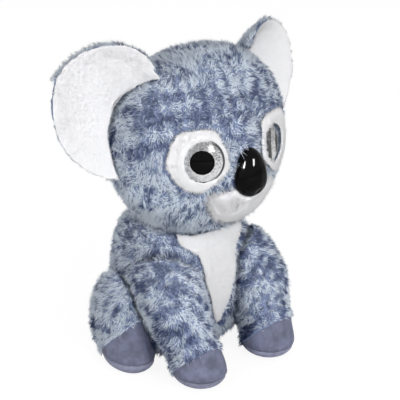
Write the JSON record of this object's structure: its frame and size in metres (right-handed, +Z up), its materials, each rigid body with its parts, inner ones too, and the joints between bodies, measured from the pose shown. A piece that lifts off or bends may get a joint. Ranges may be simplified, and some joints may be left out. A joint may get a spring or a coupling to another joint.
{
  "type": "plush koala",
  "caption": "Seated plush koala with a large round head, cupped round ears, glossy eyes and nose, white chest bib and velour paws.",
  "frame": {"origin": "centre of the flat under the torso, on the surface that the toy sits on", "axes": "+Z up, the face looks along -Y, the toy's own left side is +X"},
  "size_m": [0.2202, 0.1292, 0.242],
  "materials": {
    "mottled_plush": "long soft pile, mottled navy to pale blue",
    "white_plush": "short soft pile",
    "velour": "short crushed pile",
    "pale_velour": "short crushed pile",
    "fibre_fill": "loose fibre",
    "pouch_cotton": "plain weave",
    "gloss_black": "polished",
    "glitter": "silver glitter flakes",
    "washer_plastic": "moulded"
  },
  "bodies": {
    "torso": {"torso_cover": "mottled_plush", "torso_stuffing": "fibre_fill", "pellet_pouch": "pouch_cotton", "chest_bib": "white_plush"},
    "neck": {"neck_wad": "fibre_fill"},
    "head": {"head_cover": "mottled_plush", "head_stuffing": "fibre_fill", "muzzle_band": "white_plush", "nose": "gloss_black", "nose_washer": "washer_plastic", "eye_patch_left": "white_plush", "eye_dome_left": "gloss_black", "eye_glitter_disc_left": "glitter", "eye_washer_left": "washer_plastic", "eye_patch_right": "white_plush", "eye_dome_right": "gloss_black", "eye_glitter_disc_right": "glitter", "eye_washer_right": "washer_plastic"},
    "ear_left": {"ear_back_left": "mottled_plush", "ear_front_left": "white_plush"},
    "arm_left": {"arm_cover_left": "mottled_plush", "arm_stuffing_left": "fibre_fill", "paw_upper_left": "velour", "paw_sole_left": "pale_velour"},
    "leg_left": {"leg_cover_left": "mottled_plush", "leg_stuffing_left": "fibre_fill", "foot_upper_left": "velour", "foot_sole_left": "pale_velour"},
    "ear_right": {"ear_back_right": "mottled_plush", "ear_front_right": "white_plush"},
    "arm_right": {"arm_cover_right": "mottled_plush", "arm_stuffing_right": "fibre_fill", "paw_upper_right": "velour", "paw_sole_right": "pale_velour"},
    "leg_right": {"leg_cover_right": "mottled_plush", "leg_stuffing_right": "fibre_fill", "foot_upper_right": "velour", "foot_sole_right": "pale_velour"}
  },
  "joints": [
    {"name": "neck_turn", "type": "hinge", "parent": "torso", "child": "neck", "pos_m": [0, -0.015, 0.103], "axis": [0, 0, 1], "range_deg": [-15, 15]},
    {"name": "neck_nod", "type": "hinge", "parent": "neck", "child": "head", "pos_m": [0, -0.015, 0.103], "axis": [1, 0, 0], "range_deg": [-8, 8]},
    {"name": "ear_fold_left", "type": "hinge", "parent": "head", "child": "ear_left", "pos_m": [0.0679, -0.01812, 0.14872], "axis": [-0.3412, -0.0775, 0.9368], "range_deg": [-15, 15]},
    {"name": "ear_fold_right", "type": "hinge", "parent": "head", "child": "ear_right", "pos_m": [-0.0679, -0.01812, 0.14872], "axis": [-0.3412, 0.0775, -0.9368], "range_deg": [-15, 15]},
    {"name": "arm_swing_left", "type": "hinge", "parent": "torso", "child": "arm_left", "pos_m": [0.038, -0.029, 0.078], "axis": [-1, 0, 0], "range_deg": [0, 35]},
    {"name": "arm_swing_right", "type": "hinge", "parent": "torso", "child": "arm_right", "pos_m": [-0.038, -0.029, 0.078], "axis": [-1, 0, 0], "range_deg": [0, 35]},
    {"name": "leg_swing_left", "type": "hinge", "parent": "torso", "child": "leg_left", "pos_m": [0.05, 0.022, 0.034], "axis": [-1, 0, 0], "range_deg": [0, 15]},
    {"name": "leg_swing_right", "type": "hinge", "parent": "torso", "child": "leg_right", "pos_m": [-0.05, 0.022, 0.034], "axis": [-1, 0, 0], "range_deg": [0, 15]}
  ]
}
